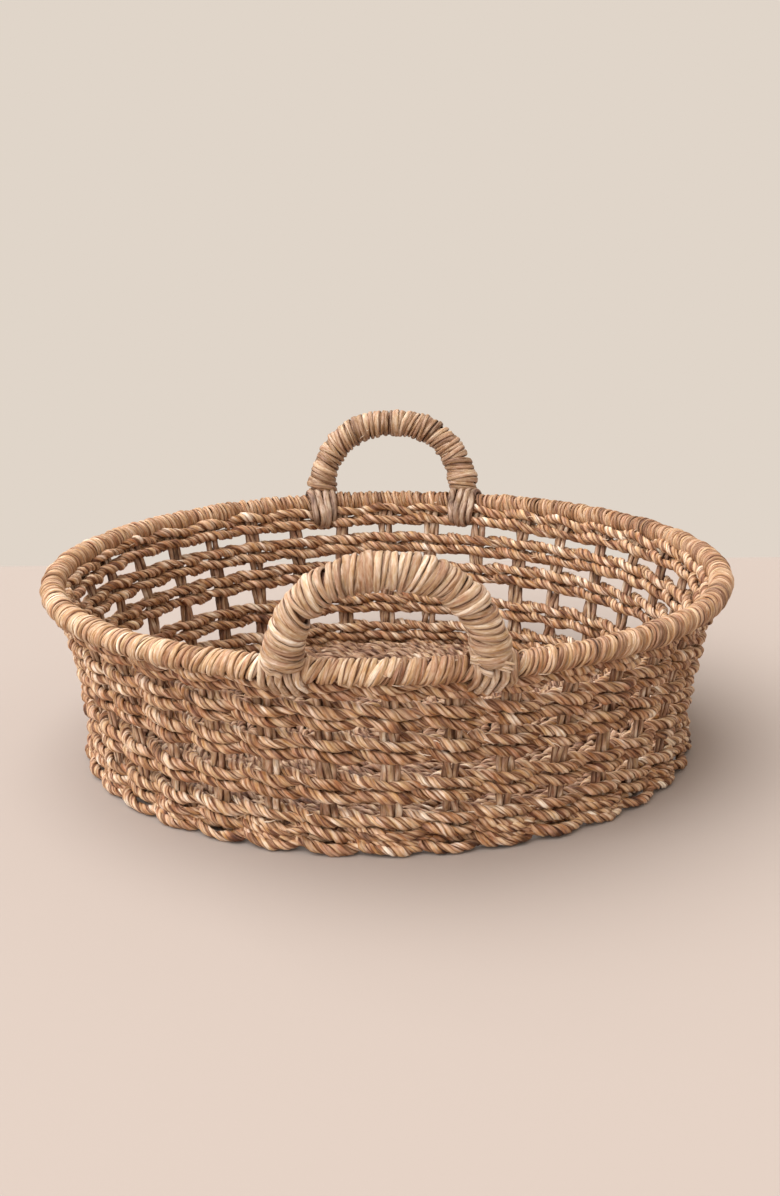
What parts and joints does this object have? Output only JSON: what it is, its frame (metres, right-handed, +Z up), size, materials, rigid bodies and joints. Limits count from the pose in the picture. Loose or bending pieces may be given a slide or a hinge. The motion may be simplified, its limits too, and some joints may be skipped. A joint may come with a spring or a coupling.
{
  "type": "open-work seagrass basket",
  "caption": "Round low open-work basket of twined seagrass rope on upright stakes, with a bound rim and two upright bound handles.",
  "frame": {"origin": "centre of the flat underside, on the surface the basket stands on", "axes": "+Z up, -Y the front handle, +Y the back handle, +X to the right seen from the front"},
  "size_m": [0.4498, 0.481, 0.1851],
  "materials": {
    "seagrass_rope": "dry two-ply twisted seagrass rope, golden tan, matt with a slight straw sheen",
    "stake_grass": "dry flat seagrass blades, grey-brown, matt",
    "binding_straw": "pale dry seagrass strips, grooved along their length, slight sheen",
    "cane_core": "bare bent cane under the binding"
  },
  "bodies": {
    "root": {"base_mat": "seagrass_rope", "base_edge_rope_lower": "seagrass_rope", "base_edge_rope_upper": "seagrass_rope", "weft_band_1_rope_a": "seagrass_rope", "weft_band_1_rope_b": "seagrass_rope", "weft_band_2_rope_a": "seagrass_rope", "weft_band_2_rope_b": "seagrass_rope", "weft_band_3_rope_a": "seagrass_rope", "weft_band_3_rope_b": "seagrass_rope", "weft_band_4_rope_a": "seagrass_rope", "weft_band_4_rope_b": "seagrass_rope", "weft_band_5_rope_a": "seagrass_rope", "weft_band_5_rope_b": "seagrass_rope", "stake_01": "stake_grass", "stake_02": "stake_grass", "stake_03": "stake_grass", "stake_04": "stake_grass", "stake_05": "stake_grass", "stake_06": "stake_grass", "stake_07": "stake_grass", "stake_08": "stake_grass", "stake_09": "stake_grass", "stake_10": "stake_grass", "stake_11": "stake_grass", "stake_12": "stake_grass", "stake_13": "stake_grass", "stake_14": "stake_grass", "stake_15": "stake_grass", "stake_16": "stake_grass", "stake_17": "stake_grass", "stake_18": "stake_grass", "stake_19": "stake_grass", "stake_20": "stake_grass", "stake_21": "stake_grass", "stake_22": "stake_grass", "stake_23": "stake_grass", "stake_24": "stake_grass", "stake_25": "stake_grass", "stake_26": "stake_grass", "stake_27": "stake_grass", "stake_28": "stake_grass", "stake_29": "stake_grass", "stake_30": "stake_grass", "stake_31": "stake_grass", "stake_32": "stake_grass", "stake_33": "stake_grass", "stake_34": "stake_grass", "stake_35": "stake_grass", "stake_36": "stake_grass", "front_handle_lashing_left": "stake_grass", "front_handle_lashing_right": "stake_grass", "back_handle_lashing_left": "stake_grass", "back_handle_lashing_right": "stake_grass", "rim_hoop": "cane_core", "front_handle_core": "cane_core", "back_handle_core": "cane_core", "rim_binding": "binding_straw", "front_handle_binding": "binding_straw", "back_handle_binding": "binding_straw"}
  },
  "joints": []
}
